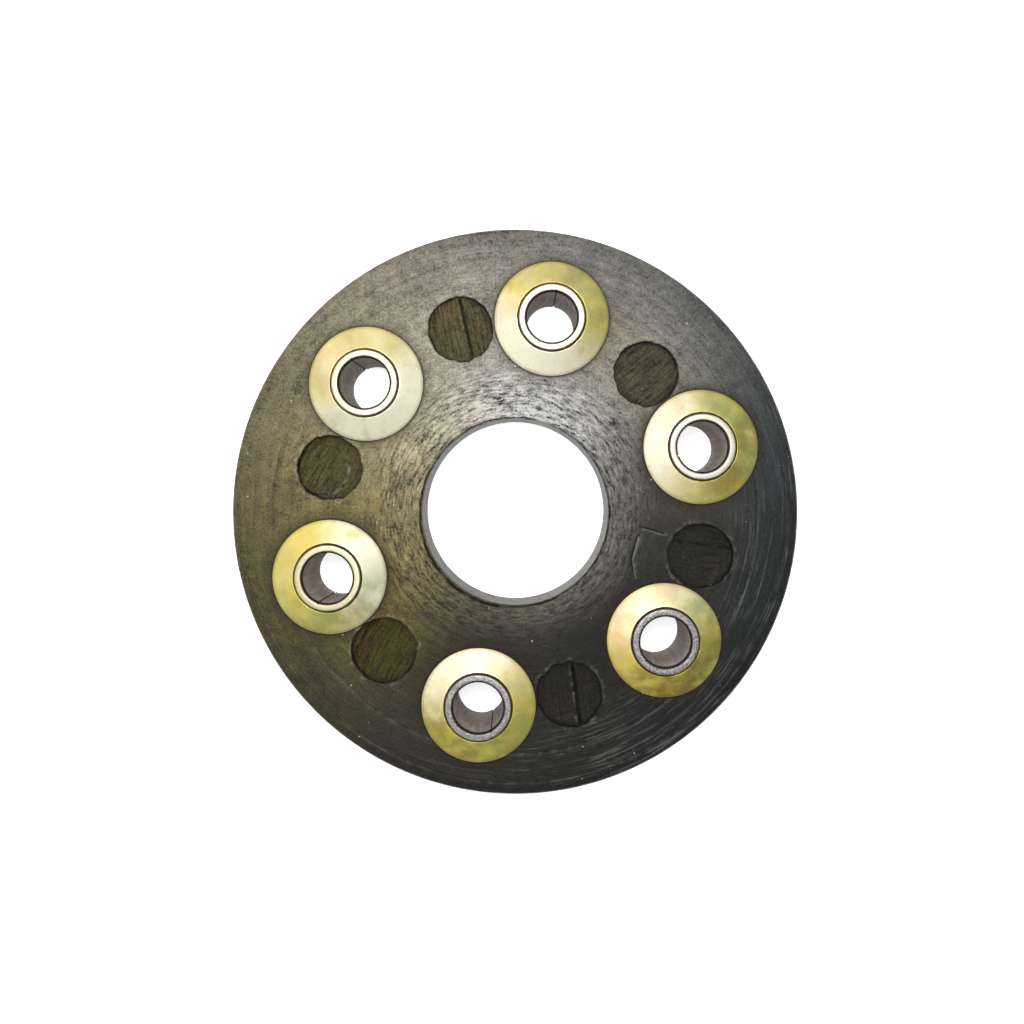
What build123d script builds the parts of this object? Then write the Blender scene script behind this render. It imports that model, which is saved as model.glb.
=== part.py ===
from build123d import *
import os
from dataclasses import dataclass
from math import cos, radians, sin, tan

# Flexible disc coupling, in millimetres. A moulded rubber disc carries six steel sleeves on a bolt
# circle, and a cone washer seats round each sleeve on either face.
# The origin is the middle of the disc, +Z is its axis, and the front face, with the pockets, looks up.

# Rubber disc
disc_radius = 69.5
disc_thickness = 17.0
centre_hole_radius = 22.75
centre_hole_chamfer = 0.5
rim_bevel_start = 66.5  # the face falls away outside this radius
rim_bevel_drop = 0.9

# Steel sleeves, rolled from strip with a butt seam
sleeve_count = 6
bolt_circle_radius = 48.0
first_sleeve_angle = 19.3
sleeve_outer_radius = 8.0
sleeve_bore_radius = 6.1  # passes an M12 bolt
sleeve_length = 25.0
mouth_chamfer = 0.5
seam_width = 0.4
seam_depth = 0.3
seam_directions = (200.0, 80.0, 118.0, 250.0, 300.0, 38.0)

# Cone washers, pressed from sheet
washer_radius = 14.0
washer_sheet = 1.5
washer_slope = 27.5
washer_rim_stand = 0.5  # the upper edge of the rim above the rubber face
washer_land = 0.5  # height of the band that grips the sleeve
washer_mouth_gap = 0.45  # the hole opens by this much towards its outer side

# Blind pockets in the front face
pocket_radius = 8.0
pocket_depth = 1.8
pocket_circle_radius = 46.6
first_pocket_angle = 46.6
island_radius = 6.2  # a round pad left standing in one pocket, off its centre
island_shift = (-1.75, -0.45)
island_height = 0.5
island_pocket = 2

face_height = disc_thickness / 2


@dataclass(frozen=True)
class FloorLayer:
    """A fabric layer that ends part of the way across a pocket's floor."""

    direction: float  # the way from the pocket's centre to the layer, in degrees
    edge: float  # where the layer ends, measured that way from the centre
    height: float  # the step at its edge


floor_layers = {
    1: FloorLayer(193.0, -1.35, 0.35),
    3: FloorLayer(152.0, 6.2, 0.8),
    4: FloorLayer(187.5, -1.65, 0.3),
    5: FloorLayer(262.0, -2.8, 0.4),
}


def around(radius, angle, height=0.0):
    """The place at a radius and an angle round the disc's axis."""
    return Location((radius * cos(radians(angle)), radius * sin(radians(angle)), height))


def sleeve_place(index):
    return around(bolt_circle_radius, first_sleeve_angle + index * 360 / sleeve_count)


def pocket_place(index):
    return around(pocket_circle_radius, first_pocket_angle + index * 360 / sleeve_count, face_height)


def turned(points):
    """A solid turned about Z from a half section given as radius and height."""
    outline = Polyline([(radius, 0, height) for radius, height in points], close=True)
    return revolve(make_face(outline), Axis.Z)


def other_side(shape):
    """The same shape on the rear face."""
    return mirror(shape, Plane.XY)


def disc_blank():
    """The plain disc: bevelled towards the rim and chamfered at the centre hole."""
    hole = centre_hole_radius
    upper = [
        (hole, face_height - centre_hole_chamfer),
        (hole + centre_hole_chamfer, face_height),
        (rim_bevel_start, face_height),
        (disc_radius, face_height - rim_bevel_drop),
    ]
    lower = [(radius, -height) for radius, height in reversed(upper)]
    return turned(upper + lower)


def washer():
    """A front cone washer in place over the origin: its rim is at the face and its hole grips the sleeve."""
    slope = radians(washer_slope)
    rim_top = face_height + washer_rim_stand
    mouth = sleeve_outer_radius + washer_mouth_gap
    underside_drop = washer_sheet / cos(slope)
    mouth_top = rim_top + (washer_radius - mouth) * tan(slope)
    land_bottom = rim_top + (washer_radius - sleeve_outer_radius) * tan(slope) - underside_drop
    section = [
        (washer_radius, rim_top),
        (mouth, mouth_top),
        (sleeve_outer_radius, land_bottom + washer_land),
        (sleeve_outer_radius, land_bottom),
        (washer_radius - washer_sheet * sin(slope), rim_top - washer_sheet * cos(slope)),
    ]
    return turned(section)


def seat_pad():
    """The raised rubber cone that fills the space below a washer, down to just under the face."""
    slope = radians(washer_slope)
    underside_drop = washer_sheet / cos(slope) - washer_rim_stand
    top = face_height + (washer_radius - sleeve_outer_radius) * tan(slope) - underside_drop
    foot = face_height - washer_sheet
    foot_radius = sleeve_outer_radius + (top - foot) / tan(slope)
    return turned([(0, foot), (foot_radius, foot), (sleeve_outer_radius, top), (0, top)])


def sleeve(seam_direction):
    """A straight sleeve about the origin, with chamfered mouths and the seam as a groove along its bore."""
    end = sleeve_length / 2
    bore = sleeve_bore_radius
    upper = [
        (bore, end - mouth_chamfer),
        (bore + mouth_chamfer, end),
        (sleeve_outer_radius, end),
    ]
    lower = [(radius, -height) for radius, height in reversed(upper)]
    groove = Box(2 * seam_depth, seam_width, sleeve_length)
    return turned(upper + lower) - Rot(0, 0, seam_direction) * Pos(bore, 0, 0) * groove


def pocket_space(index):
    """The empty space of one pocket about the origin, with its mouth at z = 0 and its own floor."""
    space = Pos(0, 0, -pocket_depth / 2) * Cylinder(pocket_radius, pocket_depth)
    if index in floor_layers:
        layer = floor_layers[index]
        slab = Box(2 * pocket_radius, 4 * pocket_radius, 2 * layer.height)
        space -= Rot(0, 0, layer.direction) * Pos(layer.edge + pocket_radius, 0, -pocket_depth) * slab
    if index == island_pocket:
        space -= Pos(*island_shift, -pocket_depth) * Cylinder(island_radius, 2 * island_height)
    return space


def disc_body():
    """The moulded rubber body, shaped to the undersides of the washers and the walls of the sleeves."""
    front_washer = washer()
    front_pad = seat_pad()
    sleeve_hole = Cylinder(sleeve_outer_radius, 2 * disc_thickness)
    body = disc_blank()
    for index in range(sleeve_count):
        place = sleeve_place(index)
        body += place * front_pad
        body += place * other_side(front_pad)
        body -= place * front_washer
        body -= place * other_side(front_washer)
        body -= place * sleeve_hole
        body -= pocket_place(index) * pocket_space(index)
    return body


def write(shape, name):
    shape.label = name
    export_step(shape, f"parts/{name}.step")


os.makedirs("parts", exist_ok=True)
write(disc_body(), "disc_body")
for index in range(sleeve_count):
    place = sleeve_place(index)
    write(place * sleeve(seam_directions[index]), f"sleeve_{index + 1}")
    write(place * washer(), f"front_washer_{index + 1}")
    write(place * other_side(washer()), f"rear_washer_{index + 1}")
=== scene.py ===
"""Looks of a flexible disc coupling: a skimmed rubber disc, yellow cone washers and steel bolt sleeves."""

import logging
import math
from dataclasses import dataclass
from enum import Enum

import bpy
import numpy as np
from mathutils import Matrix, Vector
from mathutils.geometry import delaunay_2d_cdt


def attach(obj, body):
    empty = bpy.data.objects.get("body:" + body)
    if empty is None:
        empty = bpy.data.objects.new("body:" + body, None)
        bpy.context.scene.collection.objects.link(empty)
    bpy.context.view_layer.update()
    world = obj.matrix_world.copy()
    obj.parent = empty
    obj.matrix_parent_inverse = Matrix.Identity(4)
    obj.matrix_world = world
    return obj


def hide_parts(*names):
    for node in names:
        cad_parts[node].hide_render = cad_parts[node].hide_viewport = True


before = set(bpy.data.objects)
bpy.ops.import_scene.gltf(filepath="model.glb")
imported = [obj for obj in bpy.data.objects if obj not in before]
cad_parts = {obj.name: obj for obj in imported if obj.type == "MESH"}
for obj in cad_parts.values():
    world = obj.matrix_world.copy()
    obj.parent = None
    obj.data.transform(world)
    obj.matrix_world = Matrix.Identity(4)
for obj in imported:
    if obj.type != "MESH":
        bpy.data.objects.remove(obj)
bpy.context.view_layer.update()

logging.basicConfig(level=logging.INFO, format="%(message)s")
log = logging.getLogger("coupling")

MM = 0.001  # one millimetre in scene units
BODY = "root"  # nothing moves, so every piece rides on the one body

Socket = bpy.types.NodeSocket
Place = tuple[float, float]
Faces = list[tuple[int, ...]]
Group = tuple[np.ndarray, bool]  # points, and whether they are a loop of edges that the mesh keeps


class Side(Enum):
    """The two faces of the disc, as the sign of the height that they look towards."""

    FRONT = 1
    REAR = -1


# ---------------------------------------------------------------- helpers


def linear(colour: str) -> tuple[float, float, float, float]:
    """Turns an sRGB hex colour to the linear one that shaders take.

    Args:
        colour: Six hex digits after a hash, such as "#8a8060".

    Returns:
        Red, green, blue and an alpha of one.
    """
    channels = [int(colour[i : i + 2], 16) / 255 for i in (1, 3, 5)]
    return (*[c / 12.92 if c <= 0.04045 else ((c + 0.055) / 1.055) ** 2.4 for c in channels], 1.0)


class Recipe:
    """A finish under way: one material, with the one way of adding nodes to it."""

    def __init__(self, name: str) -> None:
        """Starts an empty material."""
        self.material = bpy.data.materials.new(name)
        self.material.use_nodes = True
        self.tree = self.material.node_tree
        self.tree.nodes.clear()

    def add(self, kind: str, inputs: dict | tuple = (), out: int | str = 0, **settings) -> Socket:
        """Adds one node with its settings, and sets or links its inputs.

        Args:
            kind: The node's type name, without the ShaderNode that each begins with.
            inputs: Values, or sockets to link, by the input's name or number or in order from the first.
            out: Which output is wanted.
            **settings: Properties of the node itself.

        Returns:
            The wanted output of the new node.
        """
        node = self.tree.nodes.new("ShaderNode" + kind)
        for name, value in settings.items():
            setattr(node, name, value)
        for name, value in inputs.items() if isinstance(inputs, dict) else enumerate(inputs):
            if isinstance(value, Socket):
                self.tree.links.new(value, node.inputs[name])
            else:
                node.inputs[name].default_value = value
        return node.outputs[out]

    def close(self, shader: Socket) -> bpy.types.Material:
        """Makes a shader the surface, and gives the finished material."""
        output = self.tree.nodes.new("ShaderNodeOutputMaterial")
        self.tree.links.new(shader, output.inputs["Surface"])
        return self.material


def value_noise(x: np.ndarray, y: np.ndarray, cell: float, seed: int) -> np.ndarray:
    """Smooth random values over a plane.

    Args:
        x: First coordinates, in millimetres.
        y: Second coordinates, in millimetres.
        cell: The size of one bump, in millimetres.
        seed: Chooses the pattern.

    Returns:
        A value from -1 to 1 for each point.
    """
    lattice = np.random.default_rng(seed).uniform(-1, 1, (128, 128))
    u, v = np.asarray(x) / cell, np.asarray(y) / cell
    i, j = np.floor(u).astype(int), np.floor(v).astype(int)
    s, t = u - i, v - j
    s, t = s * s * (3 - 2 * s), t * t * (3 - 2 * t)
    corner = [lattice[(i + a) % 128, (j + b) % 128] for a, b in ((0, 0), (1, 0), (0, 1), (1, 1))]
    return (corner[0] * (1 - s) + corner[1] * s) * (1 - t) + (corner[2] * (1 - s) + corner[3] * s) * t


def tear_noise(x: np.ndarray, y: np.ndarray) -> tuple[np.ndarray, np.ndarray]:
    """A coarse and a fine pattern that every torn edge follows."""
    return value_noise(x + 100, y + 100, 1.4, 21), value_noise(x + 100, y + 100, 0.6, 22)


def smooth(low: float, high: float, value: np.ndarray) -> np.ndarray:
    """Rises smoothly from 0 at low to 1 at high."""
    share = np.clip((np.asarray(value) - low) / (high - low), 0, 1)
    return share * share * (3 - 2 * share)


def hump(off: np.ndarray, width: float | np.ndarray) -> np.ndarray:
    """Is 1 in the middle and fades to both sides within about a width."""
    return np.exp(-((off / width) ** 2))


def turned_off(bearing: np.ndarray, way: float) -> np.ndarray:
    """How far each bearing is from a way, from -180 to 180 degrees."""
    return (bearing - way + 180) % 360 - 180


def facing(bearing: np.ndarray, way: float, spill: float = 0.0) -> np.ndarray:
    """Is 1 towards a way and falls to 0 about at right angles to it, or a little past with some spill."""
    return np.clip(np.cos(np.radians(bearing - way)) + spill, 0, 1)


def near(points: np.ndarray, centre: Place) -> tuple[np.ndarray, np.ndarray]:
    """Distance and bearing, in radians, of each point from a centre."""
    x, y = points[:, 0] - centre[0], points[:, 1] - centre[1]
    return np.hypot(x, y), np.arctan2(y, x)


def clear_of(points: np.ndarray, centres: list[Place], gap: float) -> np.ndarray:
    """Keeps the points that are farther than a gap from every centre."""
    for centre in centres:
        points = points[near(points, centre)[0] > gap]
    return points


def ring(count: int, radius: float | np.ndarray, centre: Place = (0.0, 0.0)) -> np.ndarray:
    """Points round a circle, or round a wavy outline when a radius is given for each point."""
    angle = np.arange(count) * 2 * math.pi / count
    return np.column_stack([centre[0] + radius * np.cos(angle), centre[1] + radius * np.sin(angle)])


def band(upper: list[int], lower: list[int], inward: bool = False) -> Faces:
    """Faces between two loops of as many points."""
    faces = []
    for i, here in enumerate(upper):
        j = (i + 1) % len(upper)
        face = (here, lower[i], lower[j], upper[j])
        faces.append(face[::-1] if inward else face)
    return faces


def rounded_section(corners: list[tuple[float, float, float]], longest: float, steps: int = 4) -> np.ndarray:
    """A closed half section with its corners rounded.

    Args:
        corners: Radius, height and rounding of each corner, in order.
        longest: About the longest span that is left whole.
        steps: Spans in each rounded corner.

    Returns:
        The section's points as radius and height.
    """
    places = np.array([corner[:2] for corner in corners])
    rounded = []
    for index, (place, corner) in enumerate(zip(places, corners)):
        before = places[index - 1] - place
        after = places[(index + 1) % len(places)] - place
        start = place + before / np.linalg.norm(before) * corner[2]
        end = place + after / np.linalg.norm(after) * corner[2]
        for t in np.linspace(0, 1, steps + 1):
            rounded.append((1 - t) ** 2 * start + 2 * t * (1 - t) * place + t * t * end)
    points = []
    for before, after in zip(rounded, np.roll(rounded, -1, axis=0)):
        spans = max(1, int(np.linalg.norm(after - before) / longest))
        points += [before + (after - before) * step / spans for step in range(spans)]
    return np.array(points)


def lathe(section: np.ndarray, angles: np.ndarray) -> tuple[np.ndarray, Faces]:
    """Turns a closed half section about the Z axis.

    Args:
        section: Radius and height of each point of the section.
        angles: The turn of each copy of the section, in radians.

    Returns:
        The points, one copy of the section after another, and the faces.
    """
    rows, copies = len(section), len(angles)
    points = np.array([(r * math.cos(a), r * math.sin(a), h) for a in angles for r, h in section])
    faces = []
    for i in range(copies):
        here, there = i * rows, (i + 1) % copies * rows
        for j in range(rows):
            after = (j + 1) % rows
            faces.append((here + j, there + j, there + after, here + after))
    return points, faces


def add_piece(
    name: str, points: np.ndarray, faces: Faces, finish: bpy.types.Material, sharp: float
) -> bpy.types.Object:
    """Makes one mesh piece that stands for the CAD node of the same name and rides on the body.

    Args:
        name: The name of the piece and of the CAD node.
        points: Its points, in millimetres.
        faces: Its faces.
        finish: Its material.
        sharp: Edges sharper than this, in degrees, stay crisp.

    Returns:
        The new object.
    """
    mesh = bpy.data.meshes.new(name)
    mesh.from_pydata((np.asarray(points) * MM).tolist(), [], faces)
    mesh.validate()
    mesh.polygons.foreach_set("use_smooth", [True] * len(mesh.polygons))
    mesh.set_sharp_from_angle(angle=math.radians(sharp))
    mesh.materials.append(finish)
    piece = bpy.data.objects.new(name, mesh)
    bpy.context.scene.collection.objects.link(piece)
    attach(piece, BODY)
    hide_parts(name)
    log.info("%s: %d points, %d faces", name, len(mesh.vertices), len(mesh.polygons))
    return piece


def paint(piece: bpy.types.Object, values: dict[str, np.ndarray]) -> None:
    """Gives a piece one number at each of its points under each name, for its material to read."""
    for name, numbers in values.items():
        layer = piece.data.attributes.new(name, "FLOAT", "POINT")
        layer.data.foreach_set("value", np.asarray(numbers, dtype=np.float32))


# ---------------------------------------------------------------- finishes


@dataclass(frozen=True)
class SkimmedRubber:
    """Fabric-filled black rubber, vulcanised and then skimmed on a lathe.

    The tool leaves fine rings round the axis and a dull torn grain. Chalk and dust lie in them as a grey
    bloom, and the cords show through where the skin is broken in the pockets. The grey is also painted light:
    it is laid paler towards the upper left and in the upper pockets, and darker towards the lower right.
    """

    shade_black: str = "#131412"  # painted shade: in cracks, contact lines and under lips
    black: str = "#0c0d0c"
    # The pale grey of bloom, which also stands for painted light where the rubber is lit most
    bloom_and_light: str = "#cfcbc0"
    olive: str = "#b29c3a"  # olive tint
    blue: str = "#8ea2b0"  # blue-grey tint
    brown: str = "#20150a"  # stain round the washers
    dust: str = "#e9e6da"
    groove_pitch_mm: float = 0.62  # feed of the lathe tool, drawn a little coarser than it is
    wander_mm: float = 1.5  # how wide the broad uneven rings are
    scratch_mm: float = 0.5
    grain_mm: float = 0.5  # torn grain, drawn coarser than it is
    mottle_mm: float = 1.9
    cloud_mm: float = 9.0
    fibre_mm: float = 0.55
    fibre_level: float = 0.075
    speck_mm: float = 2.1
    speck_share: float = 0.2
    cord_mm: float = 0.6
    cord_stretch: float = 0.13  # how much less a cord changes along itself than across
    swings: tuple[tuple[str, float], ...] = (("grain", 3.0), ("mottle", 2.2), ("cloud", 0.9))
    relief_mm: float = 0.2
    roughness: float = 0.42
    floor_roughness: float = 0.8  # torn fibres in the pockets hardly shine
    shine: float = 0.22
    painted: tuple[str, ...] = (
        "bloom_and_light", "warmth", "stain", "scuff_and_highlight", "painted_shade", "floor", "turned", "dragged", "cord_across", "cord_along"
    )

    def patterns(self, recipe: Recipe, place: Socket, painted: dict[str, Socket]) -> dict[str, Socket]:
        """Makes the noise patterns.

        Args:
            recipe: The finish that they go into.
            place: Places on the rubber, in millimetres.
            painted: The numbers painted on the disc.

        Returns:
            The patterns by name, each from 0 to 1.
        """
        add = recipe.add
        flat = add("VectorMath", (place, (1, 1, 0)), operation="MULTIPLY")
        radius = add("VectorMath", (flat,), "Value", operation="LENGTH")
        bearing = add("VectorMath", (flat,), operation="NORMALIZE")
        outward = add("Math", (radius, add("SeparateXYZ", (place,), "Z")), operation="ADD")
        # Patterns that run round the axis: cells round it, pitch across, detail and roughness
        kinds = {}
        for name, cells, pitch, detail, rough in (
            ("rings", 11.0, self.groove_pitch_mm, 2.0, 0.6),
            ("long_rings", 3.2, self.wander_mm, 3.0, 0.7),
            ("drag", 4.5, self.scratch_mm, 3.0, 0.75),
        ):
            round_axis = add("VectorMath", {0: bearing, 3: cells}, operation="SCALE")
            lift = add("CombineXYZ", {"Z": add("Math", (outward, pitch), operation="DIVIDE")})
            kinds[name] = (add("VectorMath", (round_axis, lift), operation="ADD"), 1.0, detail, rough, 0.0)
        across = add("Math", (painted["cord_across"], self.cord_mm), operation="DIVIDE")
        along = add("Math", (painted["cord_along"], self.cord_stretch), operation="MULTIPLY")
        kinds["cords"] = (add("CombineXYZ", (across, along)), 1.0, 3.0, 0.6, 0.0)
        kinds["grain"] = (place, self.grain_mm, 2.5, 0.75, 0.0)
        kinds["mottle"] = (place, self.mottle_mm, 5.0, 0.72, 0.0)
        kinds["cloud"] = (place, self.cloud_mm, 3.0, 0.55, 0.0)
        kinds["fibre"] = (place, self.fibre_mm, 3.0, 0.75, 1.6)
        names = ("Vector", "Scale", "Detail", "Roughness", "Distortion")
        return {
            kind: add("TexNoise", dict(zip(names, (vector, 1 / cell, *rest))))
            for kind, (vector, cell, *rest) in kinds.items()
        }

    def specks(self, recipe: Recipe, place: Socket) -> Socket:
        """Bright dust specks: the rare cells of a fine net."""
        add = recipe.add
        distance = add("TexVoronoi", {"Vector": place, "Scale": 1 / self.speck_mm}, "Distance")
        cell = add("SeparateColor", (distance.node.outputs["Color"],), "Red")
        reach = add("Math", (cell.node.outputs["Green"], 0.1), operation="MULTIPLY")
        inside = add("Math", (distance, reach), operation="LESS_THAN")
        rare = add("Math", (cell, 1 - self.speck_share), operation="GREATER_THAN")
        shown = add("Math", (inside, rare), operation="MULTIPLY")
        return add("Math", (shown, 0.6), operation="MULTIPLY")

    def bloom_and_light_tone(self, recipe: Recipe, noise: dict[str, Socket], painted: dict[str, Socket]) -> Socket:
        """Works out how much pale bloom and painted light lie on the rubber.

        Args:
            recipe: The finish that it goes into.
            noise: The patterns.
            painted: The numbers painted on the disc.

        Returns:
            The share of bloom and painted light, from 0 on bare rubber to 1.
        """
        add = recipe.add
        names = ("rings", "long_rings", "cords", "grain", "mottle", "cloud")
        swung = {name: add("Math", (noise[name], 0.5), operation="SUBTRACT") for name in names}
        rings = add("Math", (swung["rings"], 4.2), operation="MULTIPLY")
        rings = add("Math", (rings, painted["turned"]), operation="MULTIPLY")
        face = add("Math", (swung["long_rings"], 1.4, rings), operation="MULTIPLY_ADD")
        floor = add("Math", (swung["cords"], 4.0), operation="MULTIPLY")
        marks = add("Mix", {0: painted["floor"], 2: face, 3: floor}, data_type="FLOAT")
        for name, amount in self.swings:
            marks = add("Math", (swung[name], amount, marks), operation="MULTIPLY_ADD")
        marks = add("Math", (marks, 1.0), operation="ADD")
        marks = add("Math", (marks, 0.0), operation="MAXIMUM")
        tone = add("Math", (painted["bloom_and_light"], marks), operation="MULTIPLY", use_clamp=True)
        # Pale fibres and scratches show even where the rubber is bare
        spans = {"fibre": (0.52, 0.8), "drag": (0.53, 0.75)}
        fibres, drags = (
            add("MapRange", (noise[name], low, high, 0.0, self.fibre_level)) for name, (low, high) in spans.items()
        )
        fibres = add("Math", (drags, painted["dragged"], fibres), operation="MULTIPLY_ADD")
        uneven = add("Math", (swung["cloud"], 3.0, 1.0), operation="MULTIPLY_ADD")
        return add("Math", (fibres, uneven, tone), operation="MULTIPLY_ADD", use_clamp=True)

    def build(self) -> bpy.types.Material:
        """Makes the material.

        Returns:
            The rubber, which reads the numbers that the disc paints.
        """
        recipe = Recipe("skimmed_rubber")
        add = recipe.add
        painted = {name: add("Attribute", out="Fac", attribute_name=name) for name in self.painted}
        place = add("VectorMath", {0: add("TexCoord", out="Object"), 3: 1 / MM}, operation="SCALE")
        noise = self.patterns(recipe, place, painted)
        warm = add("Math", (painted["warmth"], 0.0), operation="MAXIMUM", use_clamp=True)
        cold = add("Math", (painted["warmth"], -1.0), operation="MULTIPLY", use_clamp=True)
        stain = add("Math", (noise["mottle"], 0.35), operation="ADD")
        stain = add("Math", (painted["stain"], stain), operation="MULTIPLY", use_clamp=True)
        wear_and_painted_light = add("Math", (noise["grain"], 1.3), operation="MULTIPLY")
        wear_and_painted_light = add("Math", (painted["scuff_and_highlight"], wear_and_painted_light), operation="MULTIPLY", use_clamp=True)
        tint = linear(self.bloom_and_light)
        for share, over in ((warm, self.olive), (cold, self.blue)):
            tint = add("Mix", {0: share, 6: tint, 7: linear(over)}, 2, data_type="RGBA")
        tone = self.bloom_and_light_tone(recipe, noise, painted)
        colour = add("Mix", {0: tone, 6: linear(self.black), 7: tint}, 2, data_type="RGBA")
        specks = self.specks(recipe, place)
        # Brown stain, pale scuffs with painted highlights, painted shade, and dust specks
        layers = ((stain, self.brown), (wear_and_painted_light, self.dust), (painted["painted_shade"], self.shade_black), (specks, self.dust))
        for share, over in layers:
            colour = add("Mix", {0: share, 6: colour, 7: linear(over)}, 2, data_type="RGBA")

        # Relief: the lathe rings or the cords, the torn grain, and coarser lumps that are weak in the floors
        relief = add("Mix", {0: painted["floor"], 2: noise["rings"], 3: noise["cords"]}, data_type="FLOAT")
        relief = add("Math", (noise["grain"], 1.1, relief), operation="MULTIPLY_ADD")
        lumps = add("Math", (painted["floor"], -0.96, 1.2), operation="MULTIPLY_ADD")
        relief = add("Math", (noise["mottle"], lumps, relief), operation="MULTIPLY_ADD")
        bump = add("Bump", {"Height": relief, "Strength": 1.0, "Distance": self.relief_mm * MM})
        dullness = {"Value": noise["mottle"], "From Min": 0.3, "From Max": 0.7}
        dullness |= {"To Min": self.roughness - 0.08, "To Max": self.roughness + 0.12}
        dull = {0: painted["floor"], 2: add("MapRange", dullness), 3: self.floor_roughness}
        dull = add("Mix", dull, data_type="FLOAT")
        inputs = {"Base Color": colour, "Roughness": dull, "Normal": bump, "Specular IOR Level": self.shine}
        return recipe.close(add("BsdfPrincipled", inputs))


@dataclass(frozen=True)
class PassivatedZinc:
    """Zinc plate with a yellow chromate film on pressed steel.

    The film varies in thickness, so the pale gold drifts to olive, green, orange and pink in soft patches.
    Its pale share is also painted highlight, on the side of each washer that faces the disc's centre and over
    the upper-left washers, and its browner rim is partly painted shade along the edge.
    """

    # Near white: the film's palest tone, which also stands for the painted highlight
    pale: str = "#fffadf"
    gold: str = "#e9db6c"
    olive: str = "#b8b04e"
    green: str = "#a9bb72"
    rose: str = "#e6b090"
    brown: str = "#8e6f33"
    patch_mm: float = 5.0
    fleck_mm: float = 0.5
    scratch_mm: float = 0.35
    relief_mm: float = 0.03
    roughness: float = 0.42

    def patterns(self, recipe: Recipe, place: Socket) -> dict[str, Socket]:
        """Cloudy patterns by name, each moved so that no two agree."""
        noise = {}
        for name, cell, detail, shift in (
            ("drift", self.patch_mm * 1.4, 3.0, 3.0),
            ("pitting", self.fleck_mm * 2, 3.0, 5.0),
            ("fleck", self.fleck_mm, 2.0, 9.0),
            ("dullness", self.patch_mm * 0.5, 4.0, 21.0),
            ("olive", self.patch_mm * 1.2, 3.0, 40.0),
            ("green", self.patch_mm, 3.0, 71.0),
            ("rose", self.patch_mm, 3.0, 112.0),
            ("brown", self.patch_mm, 3.0, 150.0),
        ):
            moved = recipe.add("VectorMath", (place, (shift, shift, shift)), operation="ADD")
            inputs = {"Vector": moved, "Scale": 1 / cell, "Detail": detail, "Roughness": 0.6}
            noise[name] = recipe.add("TexNoise", inputs)
        return noise

    def build(self) -> bpy.types.Material:
        """Makes the material.

        Returns:
            The plated finish of the cone washers.
        """
        recipe = Recipe("passivated_zinc")
        add = recipe.add
        place = add("VectorMath", {0: add("TexCoord", out="Object"), 3: 1 / MM}, operation="SCALE")
        noise = self.patterns(recipe, place)
        names = ("pale", "green", "rose", "brown", "rim")
        painted = {name: add("Attribute", out="Fac", attribute_name=name) for name in names}
        # The pale share: the film's drift plus the painted highlight
        drift = add("Math", (noise["drift"], 0.5), operation="SUBTRACT")
        washed = add("Math", (drift, 0.9, painted["pale"]), operation="MULTIPLY_ADD", use_clamp=True)
        olive = {"Value": noise["olive"], "From Min": 0.55, "From Max": 0.75, "To Max": 0.4}
        layers = [(washed, self.pale), (add("MapRange", olive, interpolation_type="SMOOTHSTEP"), self.olive)]
        # The other film colours: painted, and broken up by a soft pattern
        for name, tint in (("green", self.green), ("rose", self.rose), ("brown", self.brown)):
            patch = {"Value": noise[name], "From Min": 0.3, "From Max": 0.62}
            patch = add("MapRange", patch, interpolation_type="SMOOTHSTEP")
            layers.append((add("Math", (painted[name], patch), operation="MULTIPLY", use_clamp=True), tint))
        # Brown flecks, and a browner rim that is partly wear and partly painted shade along the edge
        fleck = add("Math", (noise["fleck"], 0.5), operation="SUBTRACT")
        wear_and_painted_light = add("Math", (painted["rim"], 0.35), operation="MULTIPLY")
        layers.append((add("Math", (fleck, 0.5, wear_and_painted_light), operation="MULTIPLY_ADD", use_clamp=True), self.brown))
        colour = linear(self.gold)
        for share, tint in layers:
            colour = add("Mix", {0: share, 6: colour, 7: linear(tint)}, 2, data_type="RGBA")

        stretched = add("VectorMath", (place, (0.12, 1.0, 1.0)), operation="MULTIPLY")
        scratch = {"Vector": stretched, "Scale": 1 / self.scratch_mm, "Detail": 2.0, "Roughness": 0.6}
        relief = add("Math", (add("TexNoise", scratch), 0.4, noise["pitting"]), operation="MULTIPLY_ADD")
        bump = add("Bump", {"Height": relief, "Strength": 0.25, "Distance": self.relief_mm * MM})
        dullness = {"Value": noise["dullness"], "From Min": 0.3, "From Max": 0.7}
        dullness |= {"To Min": self.roughness - 0.06, "To Max": self.roughness + 0.1}
        dull = add("MapRange", dullness)
        inputs = {"Base Color": colour, "Metallic": 1.0, "Roughness": dull, "Normal": bump}
        return recipe.close(add("BsdfPrincipled", inputs))


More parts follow.
